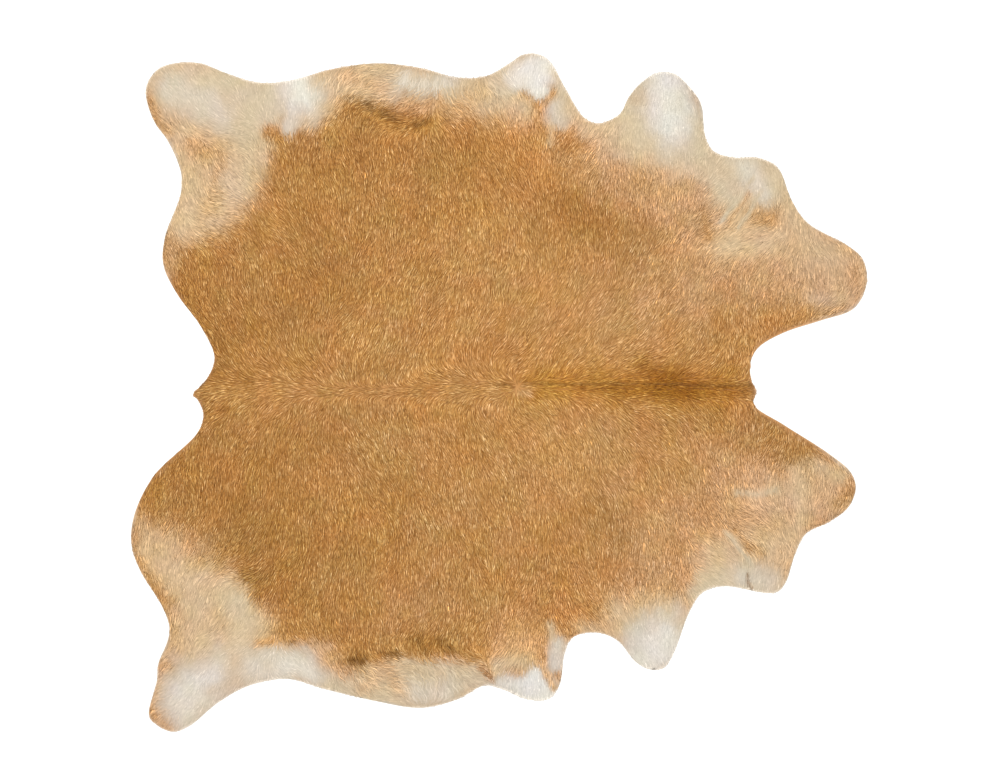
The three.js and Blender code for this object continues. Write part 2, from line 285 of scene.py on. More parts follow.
# %% Marks of the coat
# Each row has a colour, the share of that colour in the middle of the mark, its reach in the
# photo's pixels, and its places. A reach with a second value says how sharp its edge is.
MARKS = [
    # coat of the +Y side
    (OCHRE, 0.5, 56, (195, 290), (235, 345), (300, 300)),
    (OCHRE, 0.65, 18, (172, 296), (205, 335), (215, 375)),
    (OCHRE, 0.2, 66, (330, 230), (430, 220)),
    (BUFF, 0.35, 34, (588, 290), (600, 335)),
    (OCHRE, 0.5, 46, (330, 160), (400, 152), (460, 162)),
    (GOLDEN, 0.65, 52, (480, 250), (570, 320), (620, 340)),
    (OCHRE, 0.6, 36, (565, 195), (635, 240)),
    (ORANGE, 0.8, 28, (520, 125), (545, 175)),
    (ORANGE, 0.5, 22, (592, 168), (622, 205)),
    # neck and armpit, +Y
    (BUFF, 0.92, 50, (690, 285), (715, 235), (765, 280)),
    (SAND, 0.2, 22, (668, 215), (720, 225)),
    (CARAMEL, 0.4, 14, (662, 262), (664, 330)),
    (BUFF, 0.85, (36, 3), (590, 150), (650, 190), (715, 182)),
    (FAWN, 0.8, (22, 3), (600, 135), (650, 155), (712, 165)),
    # neck flap, +Y
    (CARAMEL, 0.85, 22, (725, 338), (772, 320)),
    (OCHRE, 0.4, 16, (765, 335), (800, 318)),
    (FAWN, 0.95, 42, (795, 240), (832, 268)),
    (SAND, 0.3, 20, (808, 238), (836, 252)),
    (FAWN, 0.8, 12, (864, 266), (857, 294)),
    (GOLDEN, 0.4, 7, (858, 272), (852, 296)),
    (FAWN, 0.9, 10, (812, 303), (848, 303)),
    (ORANGE, 0.65, 9, (768, 325), (800, 316)),
    # coat of the -Y side
    (OCHRE, 0.68, 52, (168, 465), (235, 495), (285, 548)),
    (OCHRE, 0.2, 50, (300, 560), (340, 590)),
    (OCHRE, 0.25, 70, (330, 460), (420, 560)),
    (GOLDEN, 0.8, 56, (560, 440), (610, 480), (660, 540)),
    (GOLDEN, 0.2, 50, (440, 480), (540, 500)),
    (BUFF, 0.22, 55, (595, 440), (650, 560)),
    (BUFF, 0.2, 26, (405, 600), (440, 598)),
    (OCHRE, 0.6, 24, (600, 508), (618, 540)),
    # neck and neck flap, -Y
    (BUFF, 0.85, 50, (684, 560), (745, 490)),
    (ORANGE, 0.4, 20, (676, 552), (696, 588)),
    (OCHRE, 0.5, 20, (762, 436), (800, 455)),
    (FAWN, 0.9, 30, (775, 500), (830, 490)),
    (CARAMEL, 0.65, 12, (848, 480), (842, 500)),
    (FAWN, 0.3, 10, (835, 512), (845, 505)),
    (SAND, 0.6, 9, (795, 465), (800, 520)),
    (SAND, 0.7, 9, (815, 462), (840, 474)),
    # armpit and flank, -Y
    (SAND, 0.85, (25, 3), (714, 562), (748, 550), (788, 546)),
    (SAND, 0.6, 10, (700, 588), (728, 578)),
    (ORANGE, 0.65, 28, (525, 612), (550, 600), (572, 612)),
    (APRICOT, 0.35, 18, (512, 628), (532, 632)),
    (APRICOT, 0.8, 15, (507, 646), (530, 644)),
    (SAND, 0.8, 10, (500, 664), (524, 658)),
    # spine, and smudges by the root of the tail
    (GOLDEN, 0.4, 20, (220, 392), (520, 392)),
    (OCHRE, 0.6, 8, (214, 376), (250, 378)),
    (OCHRE, 0.7, 12, (208, 412), (222, 412)),
    # dark streak on the neck, with its parting and the pale eye of the whorl
    (HONEY, 0.95, 19, (530, 388), (650, 386), (720, 390)),
    (UMBER, 0.65, 8, (612, 391), (684, 394)),
    (UMBER, 0.55, 11, (640, 368), (668, 377)),
    (UMBER, 0.35, 7, (575, 386), (640, 384)),
    (UMBER, 0.9, 9, (652, 384), (690, 385)),
    (UMBER, 0.5, 8, (690, 387), (750, 390)),
    # the parting: a thin line of painted shade between the hair
    (SHADE, 0.5, 1.6, (500, 385), (640, 384), (754, 386)),
    (SAND, 0.3, 4, (519, 391), (526, 392)),
    # hind leg, +Y: cream, with a tan rim
    (CREAM, 1.0, (46, 3), (160, 75), (215, 95), (250, 95)),
    (SAND, 0.7, 16, (146, 80), (165, 68), (200, 64)),
    (PALE, 0.65, 20, (168, 96), (225, 116)),
    (SAND, 0.6, 10, (148, 90), (165, 66), (215, 66)),
    (FAWN, 0.95, 14, (148, 98), (154, 122), (171, 147)),
    (CARAMEL, 0.5, 8, (151, 104), (157, 120), (168, 136)),
    # under the knee and at the rear of the thigh, +Y
    (SAND, 0.8, (20, 3), (186, 150), (196, 165), (190, 225)),
    (GOLDEN, 0.6, 9, (193, 148), (206, 156)),
    (SAND, 0.55, (16, 3), (182, 180), (184, 215), (178, 232)),
    (BUFF, 0.75, 9, (172, 250), (170, 278)),
    # groin, +Y
    (CREAM, 0.75, (17, 2), (250, 138), (252, 160), (242, 188)),
    (SAND, 0.6, 8, (264, 150), (262, 182)),
    (SAND, 0.8, 16, (240, 155), (232, 182)),
    (SAND, 0.65, 17, (238, 200), (214, 226)),
    (CREAM, 0.95, (26, 4), (245, 95), (262, 110)),
    # light wedge before the groin, +Y
    (CARAMEL, 0.9, (8, 3), (270, 137), (282, 143)),
    (PALE, 0.9, (19, 4), (290, 90), (316, 92), (302, 108)),
    (WHITE, 0.95, 15, (299, 88), (304, 110)),
    (PALE, 0.9, (8, 4), (298, 115), (289, 132)),
    (SAND, 0.6, 9, (304, 126), (330, 106)),
    # flank pad, +Y
    (SAND, 0.92, (23, 4), (334, 82), (395, 78), (470, 84)),
    (BUFF, 0.5, 12, (346, 82), (372, 94)),
    (PALE, 0.9, 14, (400, 90), (428, 94), (446, 90)),
    (BUFF, 0.75, 8, (400, 108), (438, 112)),
    (FAWN, 0.5, 10, (458, 116), (484, 106)),
    (SAND, 0.8, 15, (490, 110), (522, 112)),
    # crease under that pad: darker hair, with painted shade in the crease
    (OCHRE, 0.3, 5, (438, 124), (456, 122)),
    (OCHRE, 0.65, 9, (350, 108), (382, 120), (428, 127)),
    (SHADE, 0.75, 3.5, (363, 104), (368, 110)),
    (SHADE, 0.7, 3.2, (379, 114), (390, 119)),
    (SHADE, 0.65, 3, (410, 126), (418, 127), (427, 123)),
    # flank lobe, +Y
    (CREAM, 0.95, (20, 4), (506, 86), (514, 72), (535, 62)),
    (WHITE, 0.95, (18, 5), (526, 78), (546, 74)),
    (WHITE, 0.95, (9, 4), (534, 86), (541, 97)),
    (CREAM, 0.9, 6, (556, 76), (563, 96)),
    (FAWN, 0.8, 6, (500, 62), (528, 50)),
    (CREAM, 0.85, 9, (560, 84), (568, 112)),
    # rusty spike, oval and bay beside the lobe, +Y
    (ORANGE, 0.75, 4, (537, 110), (551, 99)),
    (PALE, 0.85, (11, 3), (558, 112), (558, 124)),
    (SAND, 0.65, 4, (552, 130), (550, 148)),
    (ORANGE, 0.8, 12, (564, 140), (572, 152)),
    (OCHRE, 0.5, 7, (560, 150), (576, 150)),
    (SAND, 0.75, 12, (572, 112), (586, 128), (606, 128)),
    # foreleg, +Y
    (CREAM, 0.95, (33, 3), (648, 125), (686, 137)),
    (CREAM, 0.9, 17, (626, 120), (642, 148), (694, 152)),
    (PALE, 1.0, (32, 4), (660, 78), (672, 110)),
    (WHITE, 0.75, 17, (662, 84), (674, 130)),
    (CREAM, 0.6, 8, (626, 105), (640, 78)),
    # chest lobe, +Y
    (CREAM, 0.95, (29, 4), (742, 165), (775, 180)),
    (WHITE, 0.5, 12, (748, 172), (764, 198)),
    (SAND, 0.7, 12, (790, 190), (798, 225)),
    (CREAM, 0.92, 18, (708, 178), (722, 194), (738, 206)),
    # skin folds of the foreleg, +Y: narrow cream lines as painted highlight on the folds, the tan
    # beside them painted shade
    (SAND, 0.9, 14, (722, 248), (765, 245)),
    (CARAMEL, 0.5, 8, (747, 215), (770, 222)),
    (SAND, 0.5, 5, (740, 234), (760, 229), (782, 240)),
    (CARAMEL, 0.5, 5, (700, 215), (704, 240)),
    (CREAM, 0.85, 2.4, (753, 182), (741, 196), (727, 213), (717, 225)),
    (BUFF, 0.6, 3, (748, 198), (737, 211), (725, 227)),
    (CREAM, 0.75, 2.2, (762, 196), (753, 206), (743, 221), (735, 231)),
    # hind leg, -Y: cream, with a tan rim
    (PALE, 0.88, (44, 3), (168, 715), (218, 670)),
    (WHITE, 0.55, 17, (184, 696), (226, 660)),
    (CARAMEL, 0.6, 9, (156, 664), (172, 664)),
    (BUFF, 0.9, 13, (156, 682), (152, 706), (167, 728)),
    (CARAMEL, 0.5, 6, (152, 706), (158, 714)),
    (SAND, 0.4, 7, (214, 686), (240, 678)),
    # thigh, -Y: two pale tongues and a brown whorl
    (SAND, 0.92, (28, 2.4), (164, 556), (194, 576), (197, 632)),
    (GOLDEN, 0.5, 7, (140, 560), (148, 585), (160, 606)),
    (SAND, 0.5, 11, (142, 522), (146, 548)),
    (BUFF, 0.3, 12, (158, 544), (196, 546)),
    (SAND, 0.95, (24, 2.6), (228, 592), (252, 614), (248, 652)),
    (CREAM, 0.7, 13, (238, 596), (248, 620), (240, 650)),
    (BUFF, 0.25, 12, (178, 616), (184, 646)),
    (OCHRE, 0.85, (11, 2.6), (250, 566), (264, 590)),
    # white patch before the leg, -Y
    (PALE, 0.9, (22, 4), (266, 663), (308, 664)),
    (WHITE, 0.55, 11, (284, 662), (300, 668), (314, 674)),
    (ORANGE, 0.6, 6, (262, 640), (272, 637)),
    (APRICOT, 0.5, 7, (318, 648), (332, 656)),
    # flank pad, -Y
    (CREAM, 0.8, (16, 3), (326, 682), (350, 684)),
    (BUFF, 0.8, 11, (324, 656), (340, 662)),
    (CREAM, 0.9, (28, 4), (352, 694), (400, 690), (462, 688)),
    (BUFF, 0.6, 10, (358, 680), (380, 670), (392, 686)),
    (PALE, 0.45, 12, (415, 684), (450, 688)),
    # crease and curls over that pad: darker hair, with painted shade in the crease
    (OCHRE, 0.7, 6, (344, 658), (392, 650)),
    (SHADE, 0.95, 4, (351, 657), (361, 657)),
    (SHADE, 0.8, 4, (384, 651), (394, 650)),
    (OCHRE, 0.65, 9, (416, 640), (458, 644)),
    (SHADE, 0.5, 4, (419, 637), (428, 647)),
    (SHADE, 0.5, 4, (442, 636), (453, 648)),
    (CREAM, 0.6, 6, (402, 660), (446, 662)),
    # flank lobe, -Y, with a brown spot and a stripe
    (SAND, 0.85, 9, (466, 694), (486, 690)),
    (WHITE, 1.0, (17, 5), (512, 690), (544, 688)),
    (WHITE, 0.95, (9, 4), (536, 669), (528, 680)),
    (PALE, 0.95, 11, (492, 686), (512, 688)),
    (UMBER, 0.65, 5, (478, 668), (488, 673)),
    (APRICOT, 0.8, 3.5, (541, 660), (549, 674), (556, 686)),
    (CARAMEL, 0.35, 3, (545, 674), (556, 686)),
    # oval and bay beside the lobe, -Y
    (PALE, 0.9, (9, 3), (558, 640), (556, 660)),
    (SAND, 0.8, 4, (550, 620), (552, 634)),
    (SAND, 0.7, 12, (578, 630), (612, 632)),
    (ORANGE, 0.75, 7, (562, 622), (573, 634)),
    # foreleg, -Y
    (SAND, 0.75, (22, 3), (622, 614), (675, 612)),
    (PALE, 0.92, (27, 4), (644, 640), (670, 630)),
    (WHITE, 0.85, (21, 3), (648, 660), (664, 645)),
    # chest lobe, -Y
    (APRICOT, 0.4, 9, (680, 618), (690, 602), (700, 592)),
    (CREAM, 0.6, 9, (684, 622), (704, 596)),
    (CREAM, 0.92, (20, 4), (708, 588), (730, 580), (770, 584)),
    (PALE, 0.55, 12, (738, 574), (768, 580)),
    (CARAMEL, 0.6, 7, (748, 545), (758, 548)),
    # skin fold of the foreleg, -Y: a narrow cream line as painted highlight on the fold, the
    # caramel beside it and the dark slit painted shade
    (CREAM, 0.6, 4, (736, 488), (756, 491), (775, 487)),
    (CREAM, 0.8, 2.4, (723, 528), (734, 543), (745, 554), (751, 563)),
    (CARAMEL, 0.5, 3, (732, 528), (746, 546)),
    (SHADE, 0.7, 2, (747, 570), (748, 578), (752, 585)),
    # tuft at the nape
    (SAND, 0.55, 5, (757, 392), (757, 402)),
]
EDGE = 2  # sharpness of a mark's edge where none is given
SHAKES = [(12 * MM, 28 * MM, 11), (16 * MM, 90 * MM, 13)]  # how far, size of the hills, seed
WHOLE_SHAKE = 26  # marks with less reach than this are shaken less
RIM_SAME = 13 * MM  # over this width the hair at the rim keeps one colour
RIM_PALE = 5 * MM  # over this width the hair greys towards the rim: clipped ends and raw leather show between it, with painted shadow
RIM_SHARE, RIM_SHARE_IN_CREAM = 0.07, 0.46  # how much of that grey shows in tan, and more in cream
print("marks on the coat:", len(MARKS))

# %% [markdown]
# The colour at a place is the caramel with all marks laid over it in turn. Cream and white hair
# looks more even than tan hair, so much that follows asks how calm the coat is at a place.


# %% Colour of the coat at a place
def share_of_reach(places, reach, line):
    """Distance from a line of places in the photo, as a share of a reach in its pixels."""
    corners = from_photo(line)
    return distance_to_lines(places, corners[:-1], corners[1:]) / (reach * PIXEL)


def mark_weight(places, shake, reach, line):
    """How much of a mark shows at each place, from 0 to 1."""
    reach, edge = reach if isinstance(reach, tuple) else (reach, EDGE)
    away = share_of_reach(places + shake * min(1.0, reach / WHOLE_SHAKE), reach, line)
    return np.exp(-(away**edge))


def inwards(places, depth):
    """Places that are nearer to the rim than a depth, moved in to that depth."""
    slope = [
        read_grid(rim_distance_grid, places + way) - read_grid(rim_distance_grid, places - way)
        for way in GRID_STEP * np.eye(2)
    ]
    slope = np.stack(slope, axis=-1)
    slope /= np.maximum(np.linalg.norm(slope, axis=-1, keepdims=True), 1e-9)
    return places + slope * np.clip(depth - read_grid(rim_distance_grid, places), 0, depth)[:, None]


def calm_of(colour):
    """From 0 where the coat is tan and its rows show well, to 1 where it is cream and even."""
    tan, cream = linear(CARAMEL)[2], linear(CREAM)[2]
    return np.clip((colour[:, 2] - tan) / (cream - tan), 0, 1) ** 0.7


def coat_colour(places):
    """Linear colour of the coat at places in metres, before the locks differ."""
    from_rim = read_grid(rim_distance_grid, places)
    places = inwards(places, RIM_SAME)
    shake = 0
    for far, size, seed in SHAKES:
        noises = [soft_noise(places, size, seed), soft_noise(places, size, seed + 1)]
        shake = shake + far * np.stack(noises, axis=-1)
    colour = np.broadcast_to(linear(CARAMEL), (len(places), 3)).copy()
    for hair, share, reach, *line in MARKS:
        weight = share * mark_weight(places, shake, reach, line)
        colour += weight[:, None] * (linear(hair) - colour)
    # greyish hair along the rim: clipped ends, raw leather and painted shadow of the rim
    clipped = RIM_SHARE + RIM_SHARE_IN_CREAM * calm_of(colour)
    clipped *= np.exp(-((np.maximum(from_rim, 0) / RIM_PALE) ** 2))
    return colour + clipped[:, None] * (linear(CLIPPED_ENDS_AND_RIM_SHADOW) - colour)


# %% [markdown]
# On a live animal the hair grows backwards from the withers, forwards along the neck and down
# both sides, and the lie stays in the tanned hide. It is what the eye reads first on short hair,
# so it is noted down as a stylist's chart: at a few hundred places, the heading from root to
# tip, in degrees from the +X side towards +Y. Between them the nearest places share the say.
# Along the spine the hair turns within a finger's width, so that is laid on top as narrow bands.

# %% Chart of the lie of the hair
# Each row has the place, across and down in the photo's pixels, and the heading in degrees.
HAIR_CHART = [
    # hind leg, +Y
    (165, 85, 135), (190, 85, 122), (215, 84, 135), (185, 97, 138), (155, 120, 135), (205, 96, 122),
    (215, 107, 145), (228, 106, 132), (190, 112, 125), (166, 108, 118), (205, 121, 168),
    (227, 121, 160), (238, 131, 162), (218, 132, 172), (238, 143, 170),
    # groin, +Y
    (250, 93, 92), (275, 95, 92), (262, 108, 95), (300, 95, 95), (312, 106, 82), (250, 120, 180),
    (263, 135, 93), (275, 145, 100), (300, 132, 62), (325, 132, 72), (265, 165, 115),
    # thigh, +Y
    (190, 150, 92), (202, 180, 90), (214, 160, 103), (190, 200, 90), (176, 225, 95),
    (228, 165, 132), (240, 180, 155), (225, 191, 160), (230, 205, 167), (208, 215, 165),
    (252, 185, 138), (265, 200, 130), (240, 215, 155), (258, 226, 128), (276, 226, 138),
    (195, 240, 155), (215, 226, 153), (212, 242, 132), (238, 240, 118), (285, 240, 122),
    # rump, +Y
    (190, 262, 100), (180, 285, 105), (195, 320, 122), (205, 345, 110), (225, 280, 90),
    (265, 285, 90), (255, 325, 118), (245, 345, 112), (285, 345, 103), (230, 362, 125),
    (285, 362, 130),
    # over the spine, rear
    (225, 372, 150), (265, 373, 153), (305, 371, 140), (335, 369, 120), (365, 369, 92),
    (410, 370, 86),
    # side and belly, +Y
    (285, 190, 98), (310, 185, 108), (325, 192, 113), (310, 228, 107), (320, 262, 108),
    (300, 155, 84), (350, 140, 103), (350, 180, 92), (390, 150, 98), (430, 145, 103),
    (470, 140, 112), (455, 180, 100), (400, 215, 84), (370, 262, 80), (350, 230, 98),
    (425, 275, 66), (470, 230, 90), (480, 275, 80), (310, 320, 76), (345, 315, 70), (370, 335, 62),
    (400, 320, 74), (435, 335, 64), (330, 355, 85),
    # spine, middle
    (430, 380, 128), (450, 380, 122), (470, 380, 116), (490, 380, 112), (425, 387, 180),
    (440, 387, 180), (455, 387, 180), (470, 387, 180), (485, 387, 178), (502, 387, 172),
    (370, 360, 64), (400, 358, 58), (440, 355, 68), (478, 335, 58), (505, 345, 47), (475, 372, 78),
    # flank pad, +Y
    (310, 85, 90), (334, 85, 73), (348, 80, 70), (334, 106, 48), (322, 118, 42), (346, 120, 85),
    (358, 76, 45), (372, 74, 5), (384, 84, 345), (358, 95, 18), (372, 96, 5), (395, 107, 30),
    (410, 88, 92), (440, 90, 100), (470, 88, 91), (410, 107, 54), (430, 108, 38), (478, 98, 72),
    (395, 118, 350), (415, 118, 25), (442, 118, 138), (462, 118, 140), (465, 107, 170),
    (490, 95, 120),
    # flank, its lobe and the bay, +Y
    (480, 118, 115), (502, 100, 108), (505, 83, 165), (515, 150, 107), (515, 180, 108),
    (526, 120, 97), (538, 85, 88), (552, 92, 72), (562, 105, 103), (538, 120, 98), (550, 150, 92),
    (515, 70, 35), (562, 140, 68), (578, 140, 58), (590, 132, 48), (602, 150, 82), (590, 158, 62),
    (612, 150, 98),
    # foreleg and shoulder, +Y
    (635, 92, 72), (660, 90, 92), (690, 92, 115), (647, 150, 108), (680, 140, 91), (705, 165, 80),
    (560, 190, 88), (620, 190, 93), (680, 200, 91), (540, 250, 90), (600, 250, 90), (660, 225, 84),
    # neck and nape, +Y
    (640, 255, 76), (690, 260, 76), (640, 280, 64), (690, 285, 67), (600, 300, 66), (545, 310, 70),
    (640, 300, 55), (675, 303, 38), (618, 315, 46), (655, 318, 60), (685, 325, 52), (590, 335, 56),
    (512, 352, 42), (545, 358, 62), (600, 357, 50), (650, 360, 20), (680, 357, 45), (700, 350, 68),
    (715, 330, 84), (740, 355, 84), (745, 300, 80), (765, 330, 92), (525, 371, 42), (557, 371, 62),
    (705, 365, 38), (735, 366, 70), (600, 371, 22), (650, 371, 16),
    # chest, +Y
    (720, 172, 45), (722, 190, 38), (732, 208, 45), (710, 228, 44), (740, 226, 44), (745, 192, 68),
    (745, 168, 105), (770, 180, 97), (770, 208, 98), (784, 190, 100), (795, 225, 110),
    (758, 228, 12), (735, 246, 26), (762, 243, 20), (710, 250, 62), (757, 262, 45), (782, 240, 60),
    # neck flap, +Y
    (740, 275, 74), (785, 270, 80), (808, 280, 90), (830, 245, 125), (850, 260, 110),
    (848, 297, 60), (835, 311, 28), (785, 315, 82), (820, 270, 92),
    # under the spine
    (220, 407, 215), (240, 407, 228), (272, 407, 225), (318, 407, 250), (360, 407, 265),
    (400, 408, 270), (435, 397, 235), (462, 397, 235), (500, 397, 245), (440, 408, 284),
    (480, 409, 294), (515, 408, 305),
    # rump and side, -Y
    (230, 420, 243), (300, 420, 262), (215, 450, 265), (270, 450, 265), (180, 470, 268),
    (230, 500, 270), (350, 432, 300), (372, 430, 297), (360, 448, 305), (335, 455, 283),
    (385, 470, 296), (330, 490, 272), (415, 420, 286), (442, 425, 304), (480, 425, 304),
    (410, 450, 290), (450, 450, 296), (500, 440, 296), (425, 475, 294), (470, 475, 286),
    (380, 505, 284), (440, 510, 284), (350, 520, 275), (500, 510, 288),
    # thigh, -Y
    (300, 520, 272), (330, 560, 262), (290, 600, 270), (270, 560, 252), (225, 535, 258),
    (150, 520, 262), (195, 548, 250), (222, 550, 240), (245, 550, 240), (170, 560, 269),
    (180, 620, 270), (150, 580, 285), (215, 565, 205), (240, 563, 212), (226, 574, 188),
    (252, 575, 182), (270, 575, 250), (205, 600, 266), (226, 600, 265), (250, 603, 250),
    (265, 610, 249), (245, 622, 252), (275, 625, 268),
    # hind leg, -Y
    (215, 640, 220), (236, 635, 232), (258, 645, 205), (190, 650, 265), (168, 662, 232),
    (208, 662, 215), (170, 675, 208), (195, 672, 210), (225, 672, 230), (175, 688, 236),
    (207, 688, 250), (228, 684, 246), (168, 700, 212), (190, 700, 244), (212, 700, 236),
    (180, 716, 245),
    # white patch, -Y
    (275, 662, 270), (288, 671, 355), (300, 648, 325), (312, 658, 305), (312, 675, 290),
    # flank pad, -Y
    (325, 640, 288), (334, 665, 284), (348, 655, 270), (350, 685, 285), (362, 695, 322),
    (372, 684, 305), (385, 672, 0), (390, 684, 345), (388, 696, 348), (402, 668, 15),
    (418, 684, 276), (442, 686, 275), (418, 670, 312), (440, 670, 305), (460, 670, 315),
    (445, 697, 200), (410, 658, 350), (432, 660, 345), (455, 660, 352), (475, 661, 2),
    (482, 672, 355), (495, 660, 208), (410, 640, 232), (432, 640, 235), (455, 638, 252),
    (485, 640, 236), (380, 640, 266), (502, 665, 235),
    # belly, -Y
    (400, 560, 268), (450, 560, 274), (500, 560, 274), (480, 580, 288), (420, 610, 264),
    (500, 630, 252),
    # withers, neck and shoulder, -Y
    (527, 408, 325), (550, 412, 302), (535, 432, 300), (565, 430, 286), (590, 430, 290),
    (560, 480, 275), (620, 412, 314), (640, 412, 332), (670, 412, 324), (692, 410, 318),
    (655, 428, 316), (680, 430, 318), (625, 440, 292), (650, 450, 314), (675, 450, 314),
    (692, 445, 286), (612, 460, 295), (590, 455, 292), (610, 485, 305), (650, 480, 296),
    (680, 480, 294), (535, 480, 288), (600, 495, 294), (515, 500, 288), (600, 520, 282),
    (650, 520, 286), (690, 520, 280), (540, 540, 270), (620, 555, 272), (680, 560, 275),
    # flank and bay, -Y
    (580, 580, 293), (612, 580, 286), (530, 590, 258), (545, 605, 254), (515, 600, 262),
    (660, 600, 272), (565, 612, 296), (578, 618, 305), (592, 618, 312), (527, 640, 270),
    (512, 650, 258), (550, 650, 270),
    # foreleg, -Y
    (628, 630, 284), (645, 645, 290), (675, 640, 262), (640, 658, 300), (540, 680, 284),
    (525, 690, 270),
    # nape and side of the neck, -Y
    (712, 408, 292), (735, 420, 272), (715, 450, 267), (745, 450, 262), (765, 440, 250),
    (770, 458, 246), (710, 490, 286), (735, 490, 277), (765, 490, 272), (785, 460, 254),
    (710, 520, 296), (782, 525, 288),
    # chest, -Y
    (745, 516, 344), (757, 527, 338), (720, 532, 308), (735, 546, 308), (752, 540, 352),
    (770, 540, 292), (708, 568, 345), (722, 570, 342), (738, 562, 300), (748, 574, 268),
    (765, 566, 258), (785, 568, 255),
    # neck flap, -Y
    (805, 470, 268), (828, 455, 305), (850, 470, 300), (835, 485, 272), (845, 502, 245),
    (815, 510, 265),
]
# Each row has a heading in degrees, a reach in pixels, and the places of one band.
SPINE_BANDS = [
    (180, 8, (196, 388), (310, 389)),
    (183, 5, (310, 392), (420, 392)),
    (180, 5, (420, 388), (512, 387)),
    (0, 5, (545, 383), (752, 384)),
    (350, 6, (545, 394), (752, 396)),
]
CHART_REACH = 12 * PIXEL
CHART_FALL = 1.8  # how fast a place of the chart loses its say with distance
WANDER = [(8, 95, 21), (11, 42, 22), (15, 22, 23)]  # degrees, size of the hills in mm, seed
chart_rows = np.array(HAIR_CHART, float)
chart_places = from_photo(chart_rows[:, :2])
chart_headings = np.radians(chart_rows[:, 2])
print("places in the chart:", len(chart_rows))


def lie_of_hair(places):
    """Heading of the hair at places, in radians."""
    east, north = np.zeros(len(places)), np.zeros(len(places))
    for place, heading in zip(chart_places, chart_headings):
        away = np.sum((places - place) ** 2, axis=1)
        say = 1 / (away + CHART_REACH**2) ** CHART_FALL
        east += say * math.cos(heading)
        north += say * math.sin(heading)
    heading = np.arctan2(north, east)
    for turn, reach, *line in SPINE_BANDS:
        say = np.exp(-(share_of_reach(places, reach, line) ** 4))
        east = np.cos(heading) * (1 - say) + math.cos(math.radians(turn)) * say
        north = np.sin(heading) * (1 - say) + math.sin(math.radians(turn)) * say
        heading = np.arctan2(north, east)
    for degrees, size, seed in WANDER:
        heading += np.radians(degrees) * soft_noise(places, size * MM, seed)
    return heading


# %% [markdown]
# Combed short hair gathers into fine rows, about five millimetres apart, and a row holds
# together over a few centimetres before it parts and starts anew. That is a wave pattern with a
# known spacing that turns with the hair. It is laid as many small overlapping patches of waves,
# long with the hair and narrow across it, each with its own random start.

# %% Rows of combed hair
ROW_SPACING = 5.3 * MM
PATCH_STEP = 12 * MM
PATCH_LONG = 15 * MM
PATCH_NARROW = 8 * MM
PATCHES_EACH_WAY = 2  # so many patches on each side still reach a place
WAVE_SUM = 1.2  # how high the waves of all patches add up


def rows_of_hair(places, seed):
    """From about -1 in the troughs between the rows to 1 on their crests."""
    rng = np.random.default_rng(seed)
    columns, lines = [int((high - low) / PATCH_STEP) + 3 for low, high in zip(grid_low, grid_high)]
    corners = np.stack(np.meshgrid(np.arange(columns), np.arange(lines), indexing="ij"), axis=-1)
    middles = grid_low + (corners + rng.uniform(-0.5, 0.5, corners.shape)) * PATCH_STEP
    across = lie_of_hair(middles.reshape(-1, 2)).reshape(columns, lines) + math.pi / 2
    start = rng.uniform(0, 2 * math.pi, (columns, lines))
    spacing = ROW_SPACING * rng.uniform(0.75, 1.25, (columns, lines))
    cell = np.floor((places - grid_low) / PATCH_STEP + 0.5).astype(int)
    waves = np.zeros(len(places))
    steps = range(-PATCHES_EACH_WAY, PATCHES_EACH_WAY + 1)
    for right, up in [(right, up) for right in steps for up in steps]:
        column = np.clip(cell[:, 0] + right, 0, columns - 1)
        line = np.clip(cell[:, 1] + up, 0, lines - 1)
        away = places - middles[column, line]
        turn = across[column, line]
        sideways = away[:, 0] * np.cos(turn) + away[:, 1] * np.sin(turn)
        lengthways = away[:, 0] * np.sin(turn) - away[:, 1] * np.cos(turn)
        envelope = np.exp(-((sideways / PATCH_NARROW) ** 2) - (lengthways / PATCH_LONG) ** 2)
        phase = 2 * math.pi * sideways / spacing[column, line] + start[column, line]
        waves += envelope * np.cos(phase)
    return waves / WAVE_SUM


# %% [markdown]
# One lock is a flat spindle of a few dozen hairs: a point at the root, widest before its middle,
# and a fine tip. With so many of them each may have only a few faces. A three-sided cone has
# just four corners and four faces, and it is pulled into that spindle: its apex becomes the tip,
# one corner of its base the root, and the other two the sides. A long curl is cut across into
# rings first, so that it can bend.

# %% One lock of hair
WIDEST = 0.42  # where along its length a lock is widest
LONG_CUTS = (0.2, 0.6, 0.8)  # where along its length a long lock is cut


def three_sided_cone():
    """A cone with its apex up, and the one corner that is its apex."""
    lock = bmesh.new()
    bmesh.ops.create_cone(lock, cap_ends=True, segments=3, radius1=0.5, radius2=0.0, depth=1.0)
    bmesh.ops.remove_doubles(lock, verts=lock.verts, dist=1e-6)
    return lock, max(lock.verts, key=lambda vert: vert.co.z)


def template_of(lock):
    """A lock's corners and faces as arrays, with its faces turned outwards."""
    bmesh.ops.recalc_face_normals(lock, faces=lock.faces)
    lock.verts.index_update()
    corners = np.array([vert.co for vert in lock.verts])
    faces = np.array([[vert.index for vert in face.verts] for face in lock.faces])
    lock.free()
    return corners, faces


def short_lock():
    """The corners of a short lock, along +X from 0 to 1, and its faces as corner numbers."""
    lock, tip = three_sided_cone()
    root, left, right = [vert for vert in lock.verts if vert != tip]
    tip.co = (1.0, 0.0, 0.0)
    root.co = (0.0, 0.0, 0.0)
    left.co = (WIDEST, 0.5, 0.5)
    right.co = (WIDEST, -0.5, 0.5)
    return template_of(lock)


